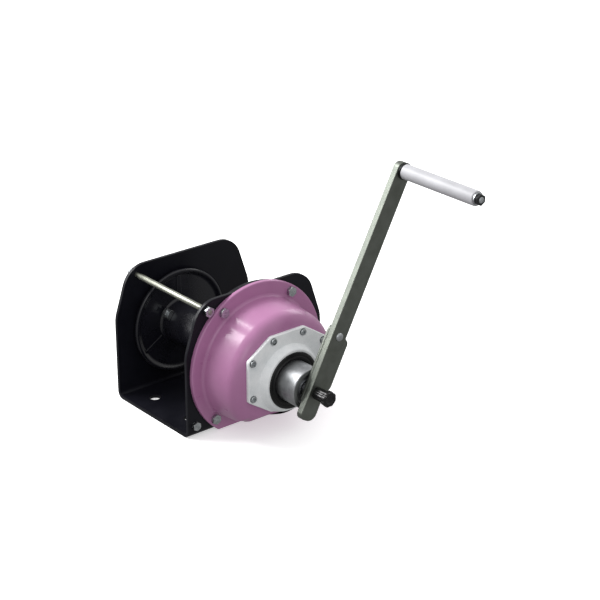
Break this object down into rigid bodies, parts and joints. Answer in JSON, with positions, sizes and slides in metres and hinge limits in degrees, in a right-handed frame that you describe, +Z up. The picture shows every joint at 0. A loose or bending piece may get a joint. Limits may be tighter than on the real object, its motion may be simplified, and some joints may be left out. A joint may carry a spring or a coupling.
{
  "type": "drum hand winch",
  "caption": "Hand-cranked rope drum winch with a U-shaped steel frame, enclosed spur gears and load brake, and a long crank with a turning grip.",
  "frame": {"origin": "centre of the base plate's underside", "axes": "+X along the drum axis towards the crank, -Y towards the front with the tie rod, +Z up"},
  "size_m": [0.56, 0.335, 0.4523],
  "materials": {
    "black_enamel": "gloss black enamel on steel",
    "mauve_enamel": "gloss mauve enamel on a casting",
    "cast_aluminium": "as cast, lightly blasted",
    "machined_steel": "turned, oiled",
    "zinc_plate": "bright zinc plate",
    "black_oxide": "black oxide",
    "black_plastic": "moulded, fine texture",
    "seal_rubber": "satin",
    "bronze": "turned bush bronze",
    "friction_lining": "pressed lining",
    "white_plastic": "moulded white plastic"
  },
  "bodies": {
    "frame": {"u_frame": "black_enamel", "left_bearing_housing": "black_enamel", "left_bearing_bush": "bronze", "tie_rod": "zinc_plate", "tie_rod_nut_left": "zinc_plate", "tie_rod_nut_right": "zinc_plate", "corner_bolt_front": "zinc_plate", "corner_bolt_rear": "zinc_plate", "corner_nut_front": "zinc_plate", "corner_nut_rear": "zinc_plate", "gear_case": "mauve_enamel", "bearing_plate": "black_enamel", "right_bearing_bush": "bronze", "divider_plate": "machined_steel", "input_bearing": "machined_steel", "brake_cover": "cast_aluminium", "shaft_seal": "seal_rubber", "pawl_pin": "machined_steel", "pawl_spring": "machined_steel", "housing_bolt_1": "zinc_plate", "housing_bolt_2": "zinc_plate", "housing_bolt_3": "zinc_plate", "gear_case_bolt_1": "zinc_plate", "gear_case_bolt_2": "zinc_plate", "gear_case_bolt_3": "zinc_plate", "gear_case_bolt_4": "zinc_plate", "cover_screw_1": "machined_steel", "cover_screw_2": "machined_steel", "cover_screw_3": "machined_steel", "cover_screw_4": "machined_steel", "cover_screw_5": "machined_steel", "cover_screw_6": "machined_steel"},
    "drum": {"drum_barrel": "black_enamel", "drum_flange_left": "black_enamel", "drum_flange_right": "black_enamel", "drum_shaft": "machined_steel", "drum_shaft_circlip": "black_oxide", "drum_gear": "machined_steel", "rope_clamp": "zinc_plate", "rope_clamp_screw": "machined_steel"},
    "countershaft": {"countershaft": "machined_steel", "intermediate_gear": "machined_steel"},
    "crank": {"input_shaft": "machined_steel", "brake_hub": "machined_steel", "friction_disc_inner": "friction_lining", "friction_disc_outer": "friction_lining", "handle_boss": "machined_steel", "boss_retaining_ring": "black_oxide", "crank_arm": "zinc_plate", "arm_guide_plate": "zinc_plate", "arm_rivet": "machined_steel", "grip_spindle": "machined_steel", "grip_washer": "black_oxide", "grip_nut": "black_oxide"},
    "ratchet": {"ratchet_wheel": "machined_steel"},
    "pawl": {"pawl": "machined_steel"},
    "knob": {"knob_bolt": "black_plastic"},
    "grip": {"grip_sleeve": "white_plastic"}
  },
  "joints": [
    {"name": "crank_spin", "type": "hinge", "parent": "frame", "child": "crank", "pos_m": [0.14, 0, 0.1015], "axis": [1, 0, 0], "continuous": true},
    {"name": "countershaft_spin", "type": "hinge", "parent": "frame", "child": "countershaft", "pos_m": [0.14, 0.05482, 0.106], "axis": [1, 0, 0], "continuous": true},
    {"name": "drum_spin", "type": "hinge", "parent": "frame", "child": "drum", "pos_m": [0, -0.018, 0.116], "axis": [1, 0, 0], "continuous": true},
    {"name": "ratchet_play", "type": "hinge", "parent": "frame", "child": "ratchet", "pos_m": [0.178, 0, 0.1015], "axis": [1, 0, 0], "range_deg": [-1.8, 1.2]},
    {"name": "pawl_swing", "type": "hinge", "parent": "frame", "child": "pawl", "pos_m": [0.178, -0.036, 0.1515], "axis": [1, 0, 0], "range_deg": [0, 12], "stiffness_Nm_per_rad": 0.02, "springref_deg": -17.19},
    {"name": "knob_turn", "type": "hinge", "parent": "crank", "child": "knob", "pos_m": [0.27, 0, 0.1015], "axis": [1, 0, 0], "range_deg": [0, 720]},
    {"name": "grip_spin", "type": "hinge", "parent": "crank", "child": "grip", "pos_m": [0.345, 0.1784, 0.43702], "axis": [1, 0, 0], "continuous": true}
  ],
  "couplings": [
    {"joint": "countershaft_spin", "follows": "crank_spin", "ratio": -0.41935},
    {"joint": "drum_spin", "follows": "crank_spin", "ratio": 0.13601}
  ]
}
